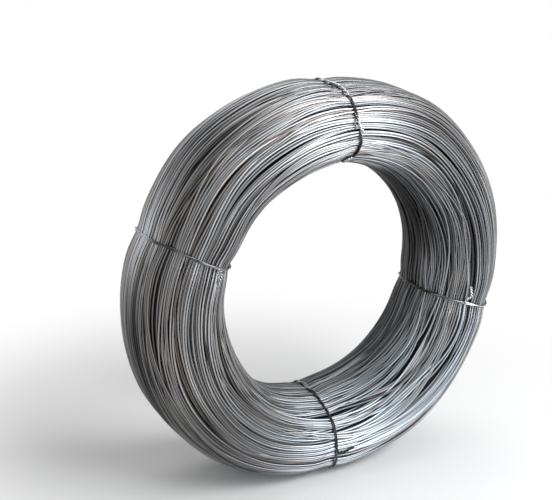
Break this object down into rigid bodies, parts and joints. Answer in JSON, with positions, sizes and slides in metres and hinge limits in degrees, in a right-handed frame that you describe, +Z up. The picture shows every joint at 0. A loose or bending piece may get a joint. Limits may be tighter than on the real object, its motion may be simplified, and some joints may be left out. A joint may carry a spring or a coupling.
{
  "type": "coil of wire rod",
  "caption": "Round coil of bare steel wire rod standing on its rim, with an open eye, bound by four twisted wires.",
  "frame": {"origin": "point on the floor under the middle of the coil, where its rim rests", "axes": "+Y along the eye from the front face to the back face, +Z up, +X to the right seen from the front"},
  "size_m": [1.06, 0.2986, 1.06],
  "materials": {
    "wire": "bare drawn steel, grey with bright and dark streaks along the turns",
    "binding_wire": "bare annealed steel wire, dark grey"
  },
  "bodies": {
    "root": {"wire_coil": "wire", "tie_top": "binding_wire", "tie_left": "binding_wire", "tie_right": "binding_wire", "tie_bottom": "binding_wire"}
  },
  "joints": []
}
